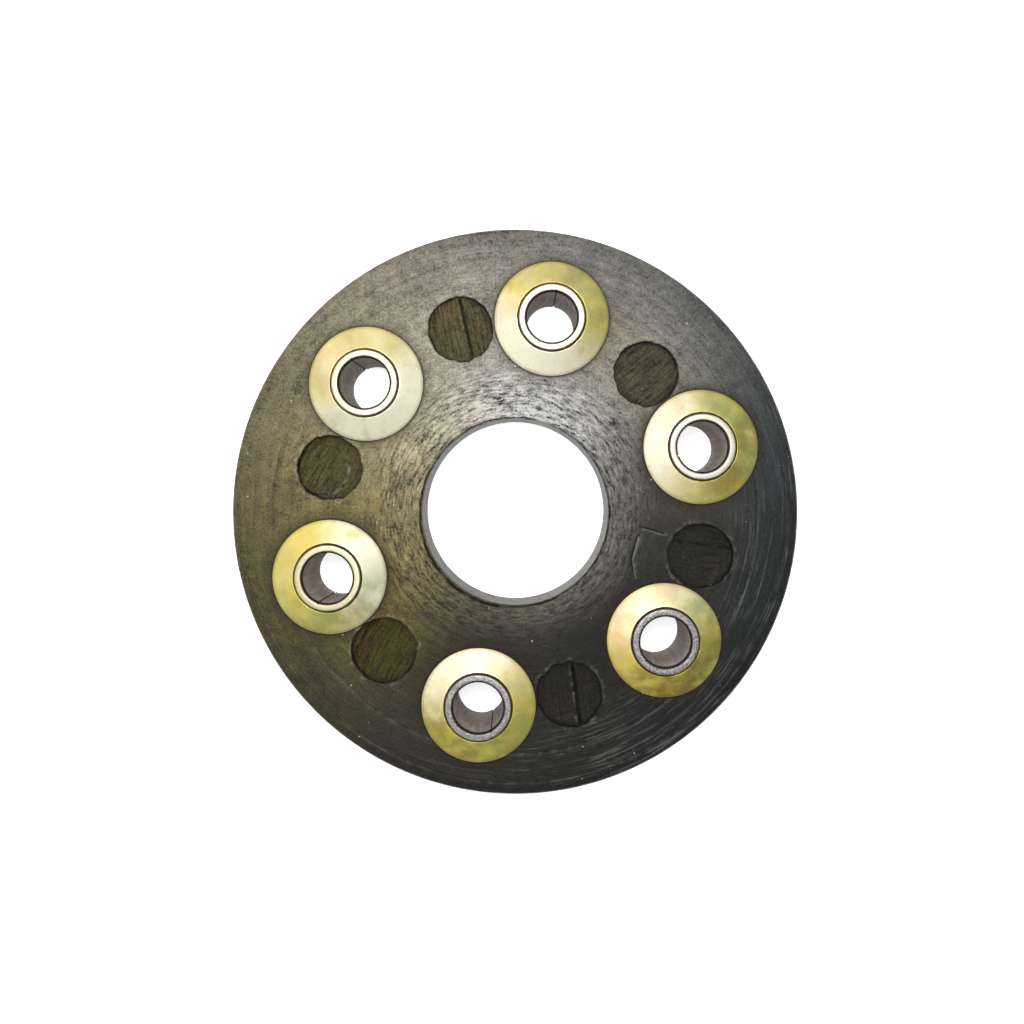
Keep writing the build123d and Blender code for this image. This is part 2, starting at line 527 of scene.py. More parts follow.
@dataclass(frozen=True)
class RolledSteel:
    """Thin zinc on strip steel, rolled into a sleeve and sheared square at its ends.

    The sheared ends are granular and bright, and the sides are dull grey with marks along their length. The
    seam's groove and the mouth of the bore are painted dark as painted shade.
    """

    bright: str = "#d9d6cf"
    grey: str = "#857b74"
    cut: str = "#aaa5ab"  # granular grey of the sheared metal
    pit: str = "#6f6b70"
    # Dark steel between the streaks, and the painted shade in the seam and at the mouth
    dark: str = "#1d1916"
    yellow: str = "#ddd0a0"
    grit_mm: float = 0.4
    streak_mm: float = 0.7
    relief_mm: float = 0.05
    roughness: float = 0.48

    def build(self) -> bpy.types.Material:
        """Makes the material.

        Returns:
            The steel of the sleeves.
        """
        recipe = Recipe("rolled_steel")
        add = recipe.add
        place = add("VectorMath", {0: add("TexCoord", out="Object"), 3: 1 / MM}, operation="SCALE")
        along = add("VectorMath", (place, (1.0, 1.0, 0.08)), operation="MULTIPLY")
        grit = add("TexNoise", {"Vector": place, "Scale": 1 / self.grit_mm, "Detail": 3.0, "Roughness": 0.7})
        streak = add("TexNoise", {"Vector": along, "Scale": 1 / self.streak_mm, "Detail": 3.0})
        names = ("end", "painted_shade", "yellow", "grit")
        painted = {name: add("Attribute", out="Fac", attribute_name=name) for name in names}
        gap = add("Math", (0.62, grit), operation="SUBTRACT")
        coarse = add("Math", (painted["grit"], 5.0), operation="MULTIPLY")
        pits = add("Math", (gap, coarse), operation="MULTIPLY", use_clamp=True)
        sheared = add("Math", (painted["grit"], 0.55), operation="MULTIPLY")
        end = linear(self.bright)
        for share, tint in ((painted["yellow"], self.yellow), (sheared, self.cut), (pits, self.pit)):
            end = add("Mix", {0: share, 6: end, 7: linear(tint)}, 2, data_type="RGBA")
        streaked = add("Math", (streak, 0.25), operation="ADD", use_clamp=True)
        # Streaked grey sides, the ends, and painted shade in the seam and at the mouth
        grey, dark = linear(self.grey), linear(self.dark)
        colour = dark
        for share, tint in ((streak, grey), (streaked, grey), (painted["end"], end), (painted["painted_shade"], dark)):
            colour = add("Mix", {0: share, 6: colour, 7: tint}, 2, data_type="RGBA")
        relief = add("Math", (grit, streak), operation="ADD")
        bump = add("Bump", {"Height": relief, "Strength": 0.4, "Distance": self.relief_mm * MM})
        inputs = {"Base Color": colour, "Metallic": 1.0, "Roughness": self.roughness, "Normal": bump}
        return recipe.close(add("BsdfPrincipled", inputs))


@dataclass(frozen=True)
class OxidisedBore:
    """The inside of a rolled sleeve, where strip steel has gone dull brown-grey and its mouth is painted black as
    painted shade.

    The scale on it is an oxide and no longer shines as metal, so it stays dark where it is seen at a slant.
    """

    scale: str = "#bcafa8"
    drawn: str = "#968a83"
    # Painted shade at the mouth of the bore
    black: str = "#0f0c0a"
    streak_mm: float = 0.8
    relief_mm: float = 0.06
    roughness: float = 0.7
    shine: float = 0.3

    def build(self) -> bpy.types.Material:
        """Makes the material.

        Returns:
            The dull finish of the sleeves' bores.
        """
        recipe = Recipe("oxidised_bore")
        add = recipe.add
        where = add("TexCoord", out="Object")
        along = add("VectorMath", (where, (1 / MM, 1 / MM, 0.1 / MM)), operation="MULTIPLY")
        streak = {"Vector": along, "Scale": 1 / self.streak_mm, "Detail": 4.0, "Roughness": 0.65}
        streak = add("TexNoise", streak)
        scaled = add("MapRange", {"Value": streak, "From Min": 0.35, "From Max": 0.65})
        # Painted shade: black down from the mouth, with a ragged edge
        ragged = add("Math", (add("Attribute", out="Fac", attribute_name="painted_shade"), streak), operation="ADD")
        mouth = {"Value": ragged, "From Min": 0.85, "From Max": 1.2}
        mouth = add("MapRange", mouth, interpolation_type="SMOOTHSTEP")
        colour = linear(self.drawn)
        for share, tint in ((scaled, self.scale), (mouth, self.black)):
            colour = add("Mix", {0: share, 6: colour, 7: linear(tint)}, 2, data_type="RGBA")
        bump = add("Bump", {"Height": streak, "Strength": 0.5, "Distance": self.relief_mm * MM})
        inputs = {"Base Color": colour, "Roughness": self.roughness, "Normal": bump}
        inputs["Specular IOR Level"] = self.shine
        return recipe.close(add("BsdfPrincipled", inputs))


# ---------------------------------------------------------------- the coupling


@dataclass(frozen=True)
class Layout:
    """The sizes that the pieces share, and where the sleeves and the pockets stand round the axis."""

    count: int = 6
    half: float = 8.5  # half the disc's thickness
    sleeve_radius: float = 8.0
    sleeve_half: float = 12.5
    washer_radius: float = 14.0
    bolt_circle: float = 48.0
    first_sleeve: float = 19.3
    pocket_circle: float = 46.6
    first_pocket: float = 46.6

    def spots(self, radius: float, first: float) -> list[Place]:
        """Even places round a circle, from a first bearing in degrees."""
        turns = [math.radians(first + index * 360 / self.count) for index in range(self.count)]
        return [(radius * math.cos(turn), radius * math.sin(turn)) for turn in turns]

    def sleeves(self) -> list[Place]:
        """The centres of the sleeves."""
        return self.spots(self.bolt_circle, self.first_sleeve)

    def pockets(self) -> list[Place]:
        """The centres of the pockets."""
        return self.spots(self.pocket_circle, self.first_pocket)


@dataclass(frozen=True)
class Layer:
    """A fabric layer that ends part of the way across a pocket's floor."""

    direction: float  # the way to the layer, in degrees
    edge: float  # where it ends, measured that way from the centre
    height: float


@dataclass(frozen=True)
class Crease:
    """A fold in a pocket's floor or a crack beside it, between two places from its centre."""

    start: Place
    end: Place
    depth: float
    width: float

    def line(self) -> tuple[np.ndarray, np.ndarray, float]:
        """Where the line starts, its unit direction and its length."""
        start, end = np.array(self.start), np.array(self.end)
        length = np.linalg.norm(end - start)
        return start, (end - start) / length, length

    def rows(self, spacing: float) -> np.ndarray:
        """Rows of points along the line and to both sides of it."""
        start, way, length = self.line()
        along, off = np.meshgrid(np.arange(0, length, spacing), np.linspace(-1.6, 1.6, 7) * self.width)
        along, off = along.ravel(), off.ravel()
        x = start[0] + way[0] * along - way[1] * off
        return np.column_stack([x, start[1] + way[1] * along + way[0] * off])

    def distance(self, x: np.ndarray, y: np.ndarray) -> np.ndarray:
        """Distance of each place from the line."""
        start, way, length = self.line()
        along = (x - start[0]) * way[0] + (y - start[1]) * way[1]
        off = np.abs(-(x - start[0]) * way[1] + (y - start[1]) * way[0])
        return off + np.maximum(0, -along) + np.maximum(0, along - length)

    def share(self, x: np.ndarray, y: np.ndarray) -> np.ndarray:
        """How far each place lies in the fold: 1 on its line and 0 clear of it."""
        return 1 - smooth(0.0, self.width * 1.6, self.distance(x, y))


@dataclass(frozen=True)
class Pocket:
    """What makes one pocket differ from the next."""

    cord_angle: float  # the way the floor's cords run, in degrees
    bloom_and_light: float  # how grey its floor is, partly painted light: the lower pockets are darker
    warmth: float  # how yellow that grey is
    lip: float  # how pale the torn edge round it is, partly painted highlight that is stronger on the upper pockets
    layer: Layer | None = None
    crease: Crease | None = None
    island: Place | None = None


@dataclass(frozen=True)
class Patch:
    """A soft-edged patch on the face of the disc, by bearing and distance from the axis."""

    bearing: float  # degrees
    turn: float  # degrees to where it has faded
    radius: float
    reach: float  # mm to where it has faded
    strength: float

    def strength_at(self, radius: np.ndarray, bearing: np.ndarray) -> np.ndarray:
        """How strong the patch is at each place."""
        off = turned_off(bearing, self.bearing) / self.turn
        return self.strength * np.exp(-(off**2) - ((radius - self.radius) / self.reach) ** 2)


@dataclass(frozen=True)
class Skin:
    """The points of the disc, and the patterns that the marks on them follow."""

    points: np.ndarray
    front: np.ndarray  # 1 on the front face and 0 elsewhere
    radius: np.ndarray
    bearing: np.ndarray  # degrees
    torn: np.ndarray
    fine: np.ndarray


@dataclass
class RubberDisc:
    """The rubber body: two faces with raised seats, blind pockets in the front one, and plain walls."""

    layout: Layout
    finish: bpy.types.Material
    radius: float = 69.5
    hole: float = 22.75
    hole_chamfer: float = 0.5
    bevel_start: float = 66.5
    bevel_drop: float = 0.9
    rim_drop: float = 1.0  # how far the rounded edge falls below the bevel
    seat_section: tuple[Place, ...] = ((8.0, 1.93), (10.6, 0.58), (13.307, -0.83), (13.74, 0.0))
    pocket_radius: float = 8.0
    pocket_depth: float = 1.8
    wall_run: float = 0.16  # how far the foot of a pocket's wall stands in from its edge
    scribed: tuple[float, ...] = (59.2, 66.5)
    scribe_depth: float = 0.1
    tear_depth: float = 0.6
    tear_radius: float = 23.1
    tear_width: float = 0.15
    ragged_side: float = 230.0  # the way to the side where the tear is widest, in degrees
    lip_height: float = 0.16
    floor_spacing: float = 0.34
    island_radius: float = 6.2
    island_height: float = 0.5
    pockets: tuple[Pocket, ...] = (
        Pocket(40.0, 0.085, 0.6, 0.6),
        Pocket(
            102.0, 0.125, 0.75, 0.8, Layer(193.0, -1.35, 0.35), Crease((-0.3, 7.3), (2.8, -6.1), 0.5, 0.35)
        ),
        Pocket(60.0, 0.11, 0.85, 0.8, island=(-1.75, -0.45)),
        Pocket(62.0, 0.08, 1.0, 0.6, Layer(152.0, 6.2, 0.8)),
        Pocket(98.0, 0.012, 0.5, 0.35, Layer(187.5, -1.65, 0.3), Crease((0.84, 6.2), (2.66, -7.3), 0.9, 0.4)),
        Pocket(172.0, 0.014, 0.3, 0.35, Layer(262.0, -2.8, 0.4), Crease((-8.7, 4.0), (8.0, 1.7), 0.5, 0.35)),
    )
    # Cracks in the skin beside the last pocket, measured from its centre
    cracks: tuple[Crease, ...] = (
        Crease((-14.2, 7.1), (-8.9, 5.4), 0.3, 0.17),
        Crease((-15.4, 4.9), (-16.9, -0.6), 0.22, 0.15),
        Crease((-16.9, -0.6), (-16.2, -5.2), 0.18, 0.15),
    )
    stains: tuple[float, ...] = (0.6, 0.35, 0.4, 0.55, 0.4, 0.6)  # how brown the rubber is round each washer
    # Where dry pale bloom lies on the rubber, with painted light that makes the upper left paler, and which way it
    # is tinted: above zero olive, below zero blue
    bloom_and_light_patches: tuple[Patch, ...] = (
        Patch(125.0, 75.0, 32.0, 48.0, 0.5),
        Patch(74.0, 28.0, 22.0, 8.0, 0.5),
        Patch(48.0, 28.0, 44.0, 18.0, 0.18),
        Patch(208.0, 25.0, 34.0, 20.0, 0.13),
        Patch(0.0, 60.0, 22.0, 7.0, 0.13),
        Patch(280.0, 50.0, 22.0, 7.0, 0.1),
    )
    warmth_patches: tuple[Patch, ...] = (
        Patch(205.0, 85.0, 50.0, 60.0, 0.9),
        Patch(300.0, 65.0, 42.0, 8.0, 0.55),
        Patch(345.0, 60.0, 64.0, 11.0, -0.9),
        Patch(75.0, 40.0, 24.0, 14.0, -0.35),
        Patch(40.0, 30.0, 48.0, 14.0, 0.4),
    )

    def ragged(self, index: int, bearing: np.ndarray) -> np.ndarray:
        """The torn outline of a pocket: its radius at each bearing."""
        x, y = np.cos(bearing) * self.pocket_radius, np.sin(bearing) * self.pocket_radius
        coarse = value_noise(x + 40, y + 40, 1.9, 300 + index)
        fine = value_noise(x + 40, y + 40, 0.7, 320 + index)
        return self.pocket_radius + 0.22 * coarse + 0.13 * fine

    def face_rings(self, step: float) -> list[float]:
        """Radii of the rings that carry the open face."""
        rings = [self.hole + inset for inset in (0.13, 0.26, 0.38, self.hole_chamfer)]
        while rings[-1] < 26.0:
            rings.append(rings[-1] + 0.16)
        while rings[-1] < self.bevel_start - step:
            rings.append(rings[-1] + step)
        for radius in self.scribed:
            rings = [r for r in rings if abs(r - radius) > 0.4] + [radius - 0.16, radius, radius + 0.16]
        rings += [self.bevel_start + extra for extra in (0.8, 1.6, 2.2, 2.45, 2.6, 2.75, 2.88)]
        return sorted(rings)

    def plain_loops(self) -> list[Group]:
        """The loops of the rim, the hole and the seats, in that order."""
        loops = [(ring(360, self.radius), True), (ring(360, self.hole), True)]
        for centre in self.layout.sleeves():
            loops += [(ring(96, radius, centre), True) for radius, _ in self.seat_section]
        return loops

    def pocket_points(self, index: int, centre: Place) -> list[Group]:
        """Gathers the points of one pocket.

        Args:
            index: Which pocket it is.
            centre: Its centre.

        Returns:
            Its torn edge, the foot of its wall, the lip outside and the floor.
        """
        edge = self.ragged(index, np.arange(160) * 2 * math.pi / 160)
        groups = [(ring(160, edge, centre), True), (ring(160, edge - self.wall_run, centre), True)]
        for gap in (0.18, 0.42, 0.75, 1.15):
            lip = ring(160, edge + gap, centre)
            groups.append((clear_of(lip, self.layout.sleeves(), self.seat_section[-1][0] + 0.12), False))
        line = np.arange(-self.pocket_radius, self.pocket_radius, self.floor_spacing)
        x, y = (values.ravel() for values in np.meshgrid(line, line))
        x = x + np.random.default_rng(index).uniform(-0.08, 0.08, len(x))
        crease = self.pockets[index].crease
        if crease:
            away = crease.distance(x, y) > crease.width * 1.6 + 0.1
            x, y = np.vstack([np.column_stack([x[away], y[away]]), crease.rows(0.3)]).T
        floor = np.column_stack([x + centre[0], y + centre[1]])
        distance, bearing = near(floor, centre)
        groups.append((floor[distance < self.ragged(index, bearing) - self.wall_run - 0.14], False))
        return groups

    def front_points(self) -> list[Group]:
        """Gathers the points of the front face, in groups."""
        seats, hollows = self.layout.sleeves(), self.layout.pockets()
        seat_edge = self.seat_section[-1][0]
        groups = self.plain_loops()
        for radius in self.face_rings(0.9):
            points = clear_of(ring(420, radius), seats, seat_edge + 0.5)
            groups.append((clear_of(points, hollows, self.pocket_radius + 1.5), False))
        for centre in seats:
            for gap in (0.2, 0.45):
                points = clear_of(ring(120, seat_edge + gap, centre), seats, seat_edge + gap - 0.05)
                groups.append((clear_of(points, hollows, self.pocket_radius + 0.6), False))
        groups += [(crack.rows(0.25) + np.array(hollows[-1]), False) for crack in self.cracks]
        for index, centre in enumerate(hollows):
            groups += self.pocket_points(index, centre)
        return groups

    def rear_points(self) -> list[Group]:
        """Gathers the points of the rear face, which has seats but no pockets."""
        gap = self.seat_section[-1][0] + 0.6
        rings = [clear_of(ring(240, radius), self.layout.sleeves(), gap) for radius in self.face_rings(1.8)]
        return self.plain_loops() + [(points, False) for points in rings]

    def mesh_face(self, groups: list[Group]) -> tuple[np.ndarray, list, list[list[int]]]:
        """Joins scattered points and loops to triangles.

        Args:
            groups: The points, which begin with the plain loops.

        Returns:
            The points, the triangles seen from above, and the indices of each boundary loop.
        """
        edges, starts, at = [], [], 0
        for points, loop in groups:
            starts.append(at)
            if loop:
                edges += [(at + i, at + (i + 1) % len(points)) for i in range(len(points))]
            at += len(points)
        scattered = np.vstack([points for points, _ in groups])
        found = delaunay_2d_cdt([Vector(p) for p in scattered.tolist()], edges, [], 0, 1e-6)
        flat = np.array([tuple(v) for v in found[0]])
        new_index = {old: new for new, olds in enumerate(found[3]) for old in olds}
        boundary = [0, 1] + [2 + len(self.seat_section) * i for i in range(self.layout.count)]
        rings = [[new_index[starts[g] + i] for i in range(len(groups[g][0]))] for g in boundary]
        triangles = np.array(found[2])
        middle = flat[triangles].mean(axis=1)
        keep = np.hypot(middle[:, 0], middle[:, 1]) > self.hole
        for centre in self.layout.sleeves():
            keep &= near(middle, centre)[0] > self.layout.sleeve_radius
        return flat, triangles[keep].tolist(), rings

    def floor_height(self, index: int, points: np.ndarray) -> np.ndarray:
        """Height of a pocket's floor above its deepest level."""
        pocket = self.pockets[index]
        x, y = (points - np.array(self.layout.pockets()[index])).T
        height = 0.07 * value_noise(x + 30, y + 30, 1.3, 40 + index)
        height = height + 0.05 * value_noise(x + 30, y + 30, 0.5, 60 + index)
        if pocket.layer:
            way = math.radians(pocket.layer.direction)
            past = x * math.cos(way) + y * math.sin(way) - pocket.layer.edge
            past = past + 0.25 * value_noise(x + 30, y + 30, 1.1, 80 + index)
            height = height + pocket.layer.height * smooth(-0.15, 0.15, past)
        if pocket.island:
            reach = np.hypot(x - pocket.island[0], y - pocket.island[1]) - self.island_radius
            reach = reach + 0.25 * value_noise(x + 30, y + 30, 1.4, 90 + index)
            height = height + self.island_height * (1 - smooth(-0.2, 0.2, reach))
        if pocket.crease:
            height = height - pocket.crease.depth * pocket.crease.share(x, y)
        return height

    def plain_height(self, points: np.ndarray) -> np.ndarray:
        """Height of either face above the plain level: chamfer, seats and the bevel at the rim."""
        radius = np.hypot(points[:, 0], points[:, 1])
        bevel_run = self.radius - self.bevel_start
        height = -self.bevel_drop * np.clip((radius - self.bevel_start) / bevel_run, 0, 1)
        height = height - self.rim_drop * np.clip((radius - self.radius + 0.65) / 0.65, 0, 1) ** 2
        height = height - self.hole_chamfer * np.clip(1 - (radius - self.hole) / self.hole_chamfer, 0, 1)
        reach, level = zip(*self.seat_section)
        for centre in self.layout.sleeves():
            distance, _ = near(points, centre)
            height = np.where(distance < reach[-1] - 1e-6, np.interp(distance, reach, level), height)
        return height

    def torn_edge(self, points: np.ndarray) -> np.ndarray:
        """How far each place lies in the torn line round the hole: 1 in its middle and 0 clear of it."""
        radius, bearing = near(points, (0.0, 0.0))
        ragged_side = hump(turned_off(np.degrees(bearing), self.ragged_side), 45)
        torn, fine = tear_noise(points[:, 0], points[:, 1])
        middle = self.tear_radius + 0.45 * ragged_side + 0.12 * torn + 0.08 * fine
        line = hump(radius - middle, self.tear_width + 0.22 * ragged_side)
        return line * np.clip(0.75 + 0.6 * torn + 0.4 * ragged_side, 0, 1)

    def front_height(self, points: np.ndarray) -> np.ndarray:
        """Height of the front face above the plain level."""
        height = self.plain_height(points)
        radius = np.hypot(points[:, 0], points[:, 1])
        for scribe in self.scribed:
            height = height - self.scribe_depth * (np.abs(radius - scribe) < 0.05)
        height = height - self.tear_depth * self.torn_edge(points)
        hollows = self.layout.pockets()
        for crack in self.cracks:
            height = height - crack.depth * crack.share(*(points - np.array(hollows[-1])).T)
        for index, centre in enumerate(hollows):
            distance, bearing = near(points, centre)
            inside = (self.ragged(index, bearing) - distance) / self.wall_run
            lip = hump(inside * self.wall_run + 0.3, 0.25) * (inside <= 0)
            torn = value_noise(points[:, 0] + 100, points[:, 1] + 100, 1.2, 200 + index)
            height = height + self.lip_height * lip * np.clip(torn + 0.35, 0, 1)
            share = np.clip(inside, 0, 1)
            floor = self.floor_height(index, points) - self.pocket_depth
            height = np.where(share > 1e-6, height * (1 - share) + floor * share, height)
        return height

    def build(self) -> bpy.types.Object:
        """Builds and dresses the disc.

        Returns:
            The disc.
        """
        front, front_faces, front_rings = self.mesh_face(self.front_points())
        rear, rear_faces, rear_rings = self.mesh_face(self.rear_points())
        top = np.column_stack([front, self.layout.half + self.front_height(front)])
        bottom = np.column_stack([rear, -self.layout.half - self.plain_height(rear)])
        points, shift = [top, bottom], len(top)
        faces = [tuple(face) for face in front_faces]
        faces += [tuple(i + shift for i in face[::-1]) for face in rear_faces]
        at = shift + len(bottom)
        # The walls of the rim, the hole and the sleeve holes; the first two are uneven and need more rows
        for number, (upper, lower) in enumerate(zip(front_rings, rear_rings)):
            start, end = top[upper], bottom[lower]
            uneven = number < 2
            spans = 10 if uneven else 2
            for step in range(1, spans):
                row = start + (end - start) * step / spans
                if uneven:
                    push = 0.05 * value_noise(row[:, 0] + 200, row[:, 1] + row[:, 2] * 3 + 200, 2.5, 7)
                    row[:, :2] *= 1 + (push / np.hypot(row[:, 0], row[:, 1]))[:, None]
                points.append(row)
                here = list(range(at, at + len(row)))
                faces += band(upper, here, inward=number > 0)
                upper, at = here, at + len(row)
            faces += band(upper, [i + shift for i in lower], inward=number > 0)
        points = np.vstack(points)
        disc = add_piece("disc_body", points, faces, self.finish, sharp=35)
        paint(disc, self.marks(points, shift))
        return disc

    def marks(self, points: np.ndarray, front_count: int) -> dict[str, np.ndarray]:
        """Works out what the finish needs at each point: bloom and painted light, tints, stains, dust, painted
        shade, painted highlights and cords.

        Args:
            points: All points of the disc.
            front_count: How many of them, from the first, belong to the front face.

        Returns:
            The painted values by name.
        """
        front = (np.arange(len(points)) < front_count).astype(float)
        radius, bearing = near(points, (0.0, 0.0))
        bearing = np.degrees(bearing) % 360
        down = np.where(front > 0, 0.0, (points[:, 2] - self.layout.half) * 1.3)
        torn, fine = tear_noise(points[:, 0] + down, points[:, 1] - down)
        skin = Skin(points, front, radius, bearing, torn, fine)
        marks = {name: np.zeros(len(points)) for name in SkimmedRubber.painted}
        marks["warmth"] = sum(patch.strength_at(radius, bearing) for patch in self.warmth_patches)
        dragged_side = 0.5 + 2.6 * facing(bearing, 320) ** 2
        marks["dragged"] = front * smooth(48.0, 58.0, radius) * dragged_side
        marks["turned"] = 0.12 + 0.88 * (1 - smooth(29.0, 39.0, radius)) * smooth(23.3, 23.7, radius)
        # The bore's edge: a torn line painted black as painted shade, round a chalky chamfer and wall that are
        # painted paler on their lit side as painted light
        marks["painted_shade"] = front * np.clip(1.5 * self.torn_edge(points), 0, 1)
        chalk, lit_side = 1 - smooth(22.7, 22.95, radius), facing(bearing, -40)
        bloom_and_light = sum(patch.strength_at(radius, bearing) for patch in self.bloom_and_light_patches)
        marks["bloom_and_light"] = bloom_and_light * (1 - chalk) + chalk * (0.02 + lit_side * (0.1 + 0.06 * torn))
        marks["scuff_and_highlight"] = 0.2 * lit_side * chalk * np.clip(fine + 0.2, 0, 1)
        self.mark_face(marks, skin)
        for index in range(self.layout.count):
            self.mark_pocket(index, marks, skin)
        return marks

    def mark_face(self, marks: dict[str, np.ndarray], skin: Skin) -> None:
        """Adds the cracks and the black rim as painted shade, the scribed circles with their painted highlights,
        and round each washer a dark line of painted shade and a brown stain.

        Args:
            marks: The painted values so far, which are changed.
            skin: The points and their patterns.
        """
        painted_shade, scuff_and_highlight, stain = marks["painted_shade"], marks["scuff_and_highlight"], marks["stain"]
        x, y = (skin.points[:, :2] - np.array(self.layout.pockets()[-1])).T
        # Cracks are painted dark as painted shade, with a pale edge beside each as painted highlight
        for crack in self.cracks:
            np.maximum(painted_shade, skin.front * crack.share(x, y), out=painted_shade)
            np.maximum(scuff_and_highlight, 0.22 * skin.front * crack.share(x - 0.2, y + 0.25), out=scuff_and_highlight)
        # The rounded rim is painted black as painted shade
        rim = smooth(68.85, 69.3, skin.radius) * smooth(4.5, 7.5, skin.points[:, 2] + 0.8 * skin.torn)
        np.maximum(painted_shade, 0.9 * rim, out=painted_shade)
        # The scribed circles catch the light in broken lengths
        broken = facing(skin.bearing, 272, 0.35) * np.clip(skin.torn + 0.5 * skin.fine + 0.45, 0, 1)
        for scribe in self.scribed:
            np.maximum(scuff_and_highlight, hump(skin.radius - scribe, 0.14) * broken * 0.13, out=scuff_and_highlight)
        edge = self.layout.washer_radius
        # A dark line of painted shade where each washer meets the rubber, and a brown stain beyond it
        for centre, strength in zip(self.layout.sleeves(), self.stains):
            distance, _ = near(skin.points, centre)
            np.maximum(painted_shade, skin.front * 0.9 * (1 - smooth(edge, edge + 0.5, distance)), out=painted_shade)
            np.maximum(stain, skin.front * strength * (1 - smooth(edge, edge + 3.5, distance)), out=stain)

    def mark_pocket(self, index: int, marks: dict[str, np.ndarray], skin: Skin) -> None:
        """Adds one pocket: its tones with painted light, its wall painted black as painted shade, its pale lip
        with painted highlight, its fold with painted shade, its pad with a painted highlight on its edge, and its
        cords.

        Args:
            index: Which pocket it is.
            marks: The painted values so far, which are changed.
            skin: The points and their patterns.
        """
        pocket, painted_shade, scuff_and_highlight = self.pockets[index], marks["painted_shade"], marks["scuff_and_highlight"]
        centre = self.layout.pockets()[index]
        distance, way = near(skin.points, centre)
        past = distance - self.ragged(index, way)
        inside = skin.front * np.clip(-past / self.wall_run, 0, 1)
        np.maximum(marks["floor"], inside, out=marks["floor"])
        # The floor's tone is partly painted light: the lower pockets are darker
        marks["bloom_and_light"][inside > 0.5] = pocket.bloom_and_light
        marks["warmth"][inside > 0.5] = pocket.warmth
        # The wall is painted black under its edge as painted shade, and the torn lip outside it is painted pale,
        # partly as painted highlight
        wall = hump(past + 0.2, 0.28) * np.clip(0.75 + 0.7 * skin.torn, 0, 1)
        np.maximum(painted_shade, skin.front * wall, out=painted_shade)
        lip = hump(past - 0.4 - 0.35 * skin.fine, 0.32) * np.clip(skin.torn + 0.5 * skin.fine + 0.1, 0, 1)
        np.maximum(scuff_and_highlight, skin.front * lip * pocket.lip * 0.36, out=scuff_and_highlight)
        x, y = (skin.points[:, :2] - np.array(centre)).T
        # The fold is painted dark as painted shade, with a pale edge beside it as painted highlight
        if pocket.crease:
            np.maximum(painted_shade, 0.95 * inside * pocket.crease.share(x, y), out=painted_shade)
            beside = pocket.crease.share(x + 0.6, y - 0.1) * np.clip(0.6 + skin.fine, 0, 1)
            np.maximum(scuff_and_highlight, 0.12 * inside * beside, out=scuff_and_highlight)
        # The island's edge is painted pale on its lit side as painted highlight
        if pocket.island:
            reach = np.hypot(x - pocket.island[0], y - pocket.island[1])
            lit = np.clip(np.cos(np.arctan2(y, x) + 0.6) + 0.2, 0, 1)
            broken = np.clip(0.6 + skin.torn + 0.5 * skin.fine, 0, 1)
            ridge = hump(reach - self.island_radius, 0.3) * lit * broken
            np.maximum(scuff_and_highlight, inside * ridge * 0.28, out=scuff_and_highlight)
        turn = math.radians(pocket.cord_angle)
        close = distance < self.pocket_radius + 2
        marks["cord_across"][close] = (y * math.cos(turn) - x * math.sin(turn))[close]
        marks["cord_along"][close] = (x * math.cos(turn) + y * math.sin(turn))[close]


@dataclass(frozen=True)
class FilmLook:
    """Which way each film colour lies on one washer, as a bearing in degrees and a strength; the pale one is
    painted highlight on the side towards the disc's centre.
    """

    wash: float  # how pale the whole washer is, as painted light that is strongest on the upper-left washers
    pale: tuple[float, float]
    green: tuple[float, float]
    rose: tuple[float, float]
    brown: tuple[float, float]


@dataclass
class ConeWashers:
    """Twelve cone washers pressed from sheet, one round each end of each sleeve."""

    layout: Layout
    finish: bpy.types.Material
    section: tuple[tuple[float, float, float], ...] = (
        (14.0, 0.5, 0.14),
        (8.45, 3.389, 0.14),
        (8.0, 2.43, 0.1),
        (8.0, 1.93, 0.1),
        (13.307, -0.83, 0.14),
    )
    turns: int = 160
    longest_span: float = 0.8
    wave: float = 0.04  # how far the pressed cone is out of true
    looks: tuple[FilmLook, ...] = (
        FilmLook(0.1, (170.0, 0.85), (20.0, 0.7), (150.0, 0.3), (335.0, 0.45)),
        FilmLook(0.2, (240.0, 1.15), (50.0, 0.55), (130.0, 0.35), (30.0, 0.15)),
        FilmLook(0.45, (300.0, 1.35), (200.0, 0.1), (150.0, 0.3), (180.0, 0.0)),
        FilmLook(0.1, (10.0, 0.85), (300.0, 0.6), (120.0, 0.15), (250.0, 0.15)),
        FilmLook(0.0, (110.0, 0.9), (320.0, 0.65), (60.0, 0.3), (240.0, 0.5)),
        FilmLook(0.0, (110.0, 0.7), (10.0, 0.7), (150.0, 0.5), (290.0, 0.75)),
    )

    def build_one(self, index: int, side: Side) -> bpy.types.Object:
        """Builds one washer.

        Args:
            index: Which sleeve it goes round.
            side: Which face of the disc it lies on.

        Returns:
            The washer.
        """
        name = f"{side.name.lower()}_washer_{index + 1}"
        angles = np.arange(self.turns) * 2 * math.pi / self.turns
        points, faces = lathe(rounded_section(self.section, self.longest_span), angles)
        x, y = points[:, 0], points[:, 1]
        points[:, 2] += self.wave * value_noise(x + 60, y + 60, 5.0, 500 + index * 2 + (side is Side.REAR))
        reach, bearing = near(points, (0.0, 0.0))
        points = points + np.array([*self.layout.sleeves()[index], self.layout.half])
        if side is Side.REAR:
            points[:, 2] *= -1
            faces = [face[::-1] for face in faces]
        washer = add_piece(name, points, faces, self.finish, sharp=50)
        # The rim is painted browner, partly as wear and partly as painted shade along the edge
        film = {"rim": smooth(self.layout.washer_radius - 0.5, self.layout.washer_radius, reach)}
        look = self.looks[index]
        # Film colours by bearing; the pale one is painted highlight towards the disc's centre
        for colour in ("pale", "green", "rose", "brown"):
            way, strength = getattr(look, colour)
            off = np.abs(turned_off(np.degrees(bearing), way))
            film[colour] = strength * (1 - smooth(25.0, 115.0, off))
        # The whole washer is made paler as painted light, most on the upper-left washers
        film["pale"] = film["pale"] + look.wash
        paint(washer, film)
        return washer

    def build(self) -> None:
        """Builds the washers of both faces."""
        for index in range(self.layout.count):
            for side in Side:
                self.build_one(index, side)


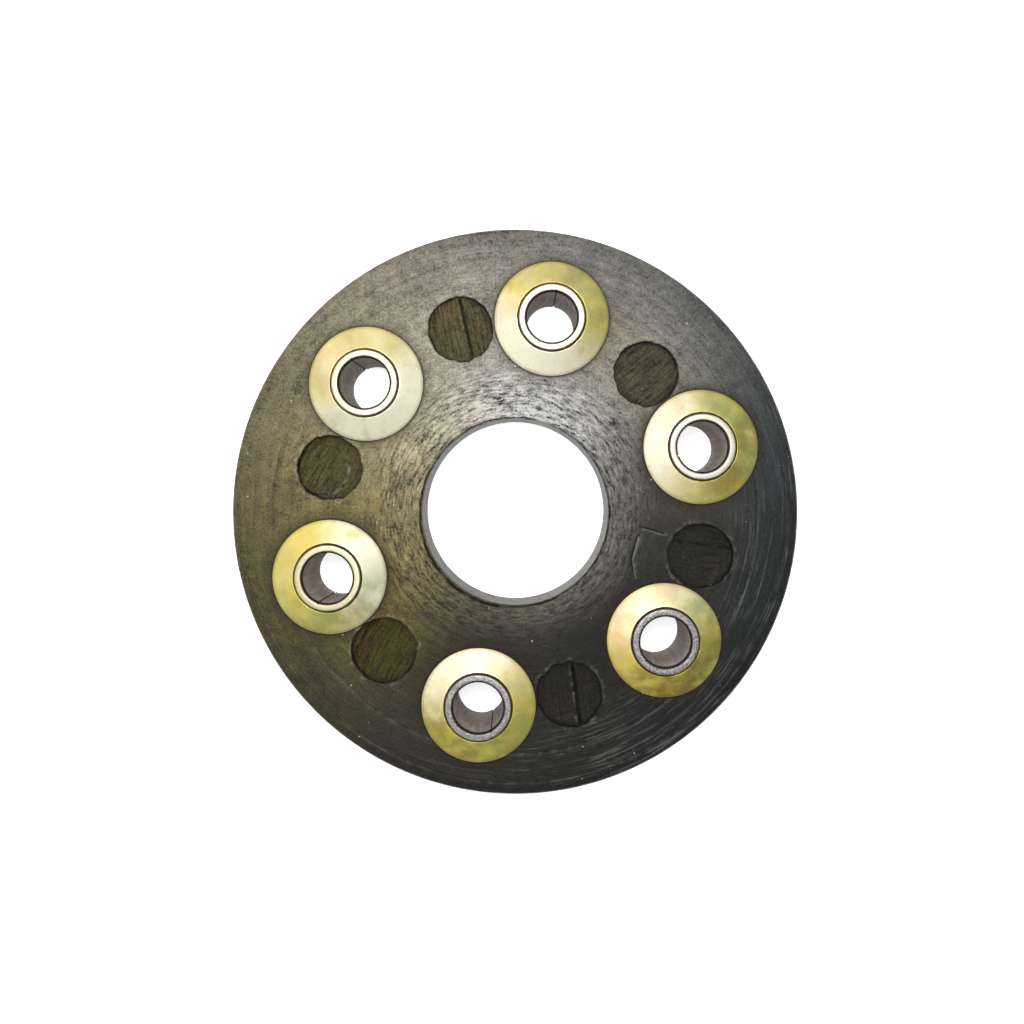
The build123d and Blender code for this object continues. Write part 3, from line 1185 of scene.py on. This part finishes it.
@dataclass
class Sleeves:
    """Six sleeves rolled from strip, each with a butt seam along its bore."""

    layout: Layout
    finish: bpy.types.Material
    bore_finish: bpy.types.Material
    bore: float = 6.1
    chamfer: float = 0.5
    seam_width: float = 0.4
    seam_depth: float = 0.3
    seam_directions: tuple[float, ...] = (200.0, 80.0, 118.0, 250.0, 300.0, 38.0)
    turns: int = 176
    longest_span: float = 0.9
    # How yellow and how granular each sleeve's ends are
    end_looks: tuple[tuple[float, float], ...] = (
        (0.35, 0.3), (0.6, 0.2), (0.85, 0.1), (0.85, 0.15), (0.1, 0.8), (0.0, 0.9)
    )

    def build_one(self, index: int) -> bpy.types.Object:
        """Builds one sleeve.

        Args:
            index: Which sleeve it is.

        Returns:
            The sleeve.
        """
        name = f"sleeve_{index + 1}"
        half, outer = self.layout.sleeve_half, self.layout.sleeve_radius
        upper = [(self.bore, half - self.chamfer, 0.12), (self.bore + self.chamfer, half, 0.12)]
        upper.append((outer, half, 0.36))
        lower = [(radius, -height, rounding) for radius, height, rounding in reversed(upper)]
        section = rounded_section(upper + lower, self.longest_span)
        seam = self.seam_width / 2 / self.bore
        rounding = seam * 0.3
        steps = [-seam - rounding, -seam, -seam + rounding, 0, seam - rounding, seam, seam + rounding]
        even = np.linspace(seam + 3 * rounding, 2 * math.pi - seam - 3 * rounding, self.turns)
        angles = np.sort(np.concatenate([steps, even]))
        points, faces = lathe(section, angles + math.radians(self.seam_directions[index]))
        off = np.repeat(np.abs((angles + math.pi) % (2 * math.pi) - math.pi), len(section))
        distance = np.hypot(points[:, 0], points[:, 1])
        inner = 1 - smooth(self.bore + self.chamfer * 0.6, self.bore + self.chamfer * 1.3, distance)
        groove = (1 - smooth(seam - rounding * 1.2, seam + rounding * 0.5, off)) * inner
        points[:, :2] *= (1 + self.seam_depth * groove / distance)[:, None]
        level = np.abs(points[:, 2])
        end = smooth(half - 0.3, half - 0.05, level) * (1 - 0.5 * smooth(outer - 0.4, outer - 0.1, distance))
        points = points + np.array([*self.layout.sleeves()[index], 0])
        sleeve = add_piece(name, points, faces, self.finish, sharp=38)
        sleeve.data.materials.append(self.bore_finish)
        within = inner[np.array(faces)].min(axis=1) > 0.99
        sleeve.data.polygons.foreach_set("material_index", within.astype(np.int32))
        # Painted shade: dark in the seam's groove and down from the mouth of the bore
        mouth = inner * smooth(half - 2.2, half - 0.8, level)
        yellow, grit = (np.full(len(points), amount) for amount in self.end_looks[index])
        marks = {"end": end, "painted_shade": 0.93 * np.maximum(groove, mouth), "yellow": yellow, "grit": grit}
        paint(sleeve, marks)
        return sleeve

    def build(self) -> None:
        """Builds the six sleeves."""
        for index in range(self.layout.count):
            self.build_one(index)


# ---------------------------------------------------------------- the studio


@dataclass(frozen=True)
class Softbox:
    """One soft lamp that looks at the middle of the coupling."""

    name: str
    azimuth: float  # the way to it seen from above, in degrees from +X
    tilt: float  # how far it stands from straight up, in degrees
    distance: float
    size: float
    radiance: float

    def place(self) -> Vector:
        """Where the lamp hangs, in millimetres."""
        tilt, azimuth = math.radians(self.tilt), math.radians(self.azimuth)
        across, up = self.distance * math.sin(tilt), self.distance * math.cos(tilt)
        return Vector((across * math.cos(azimuth), across * math.sin(azimuth), up))

    def power(self) -> float:
        """The power that gives the lamp its radiance."""
        return self.radiance * math.pi * math.pi * (self.size * MM / 2) ** 2


@dataclass
class Studio:
    """A pale floor, soft lamps and a camera that looks straight down."""

    layout: Layout
    # The paper sweep, as radius and rise: flat below the object and turned up far behind it
    sweep: tuple[Place, ...] = (
        (900.0, 0.0),
        (2200.0, 0.0),
        (2500.0, 20.0),
        (2750.0, 80.0),
        (2950.0, 200.0),
        (3080.0, 400.0),
        (3150.0, 850.0),
    )
    sweep_turns: int = 96
    floor_colour: str = "#f4f4f4"
    glow_colour: str = "#ffffff"
    glow_level: float = 0.8
    world_colour: str = "#ffffff"
    world_level: float = 0.1
    camera_place: tuple[float, float, float] = (1.7, 8.3, 280.5)
    camera_lens: float = 39.1
    camera_shift: tuple[float, float] = (-0.0098, -0.0332)
    lamps: tuple[Softbox, ...] = (
        Softbox("key", 101.4, 11.3, 307.0, 90.0, 34.0),
        Softbox("north", 95.0, 52.0, 700.0, 460.0, 1.3),
        Softbox("west", 190.0, 52.0, 700.0, 460.0, 1.3),
        Softbox("north_west", 142.0, 56.0, 700.0, 500.0, 1.3),
        Softbox("south_west", 235.0, 46.0, 700.0, 340.0, 1.3),
        Softbox("south", 275.0, 45.0, 700.0, 320.0, 1.2),
        Softbox("south_east", 318.0, 43.0, 700.0, 300.0, 1.2),
        Softbox("east", 0.0, 45.0, 700.0, 320.0, 1.2),
        Softbox("north_east", 45.0, 48.0, 700.0, 380.0, 1.2),
    )

    def floor(self) -> None:
        """Lays a pale floor that shows white to the eye and keeps the soft shadow."""
        recipe = Recipe("white_paper_sweep")
        add = recipe.add
        seen = rays = add("LightPath", out="Is Camera Ray")
        for name in ("Is Glossy Ray", "Is Transmission Ray"):
            seen = add("Math", (seen, rays.node.outputs[name]), operation="MAXIMUM")
        dark = add("Emission", {"Strength": 0.0})
        glow = add("MixShader", (seen, dark, add("Emission", (linear(self.glow_colour), self.glow_level))))
        paper = add("BsdfDiffuse", (linear(self.floor_colour),))
        material = recipe.close(add("AddShader", (paper, glow)))
        points = [(0.0, 0.0, -self.layout.sleeve_half)]
        for radius, rise in self.sweep:
            points += [(x, y, rise - self.layout.sleeve_half) for x, y in ring(self.sweep_turns, radius)]
        starts = range(1, len(points), self.sweep_turns)
        rows = [list(range(start, start + self.sweep_turns)) for start in starts]
        faces = [(0, *side) for side in zip(rows[0], rows[0][1:] + rows[0][:1])]
        for inner, outer in zip(rows, rows[1:]):
            faces += band(inner, outer)
        mesh = bpy.data.meshes.new("floor")
        mesh.from_pydata((np.array(points) * MM).tolist(), [], faces)
        mesh.polygons.foreach_set("use_smooth", [True] * len(faces))
        mesh.materials.append(material)
        sheet = bpy.data.objects.new("floor", mesh)
        bpy.context.scene.collection.objects.link(sheet)

    def light(self) -> None:
        """Hangs the lamps and sets the level of the room."""
        for lamp in self.lamps:
            data = bpy.data.lights.new(lamp.name, "AREA")
            data.shape = "DISK"
            data.size = lamp.size * MM
            data.energy = lamp.power()
            holder = bpy.data.objects.new(lamp.name, data)
            holder.location = lamp.place() * MM
            holder.rotation_euler = (-holder.location).to_track_quat("-Z", "Y").to_euler()
            bpy.context.scene.collection.objects.link(holder)
        world = bpy.data.worlds.new("room")
        world.use_nodes = True
        background = world.node_tree.nodes["Background"]
        background.inputs["Color"].default_value = linear(self.world_colour)
        background.inputs["Strength"].default_value = self.world_level
        bpy.context.scene.world = world

    def camera(self) -> None:
        """Sets the camera over the disc, looking straight down."""
        data = bpy.data.cameras.new("camera")
        data.lens = self.camera_lens
        data.shift_x, data.shift_y = self.camera_shift
        data.clip_start = 0.01
        holder = bpy.data.objects.new("camera", data)
        holder.location = Vector(self.camera_place) * MM
        bpy.context.scene.collection.objects.link(holder)
        bpy.context.scene.camera = holder

    def build(self) -> None:
        """Sets the whole studio."""
        bpy.context.scene.view_settings.view_transform = "Standard"
        self.floor()
        self.light()
        self.camera()


def main() -> None:
    """Builds the coupling and the studio."""
    layout = Layout()
    Studio(layout).build()
    RubberDisc(layout, SkimmedRubber().build()).build()
    ConeWashers(layout, PassivatedZinc().build()).build()
    Sleeves(layout, RolledSteel().build(), OxidisedBore().build()).build()


if __name__ == "__main__":
    main()
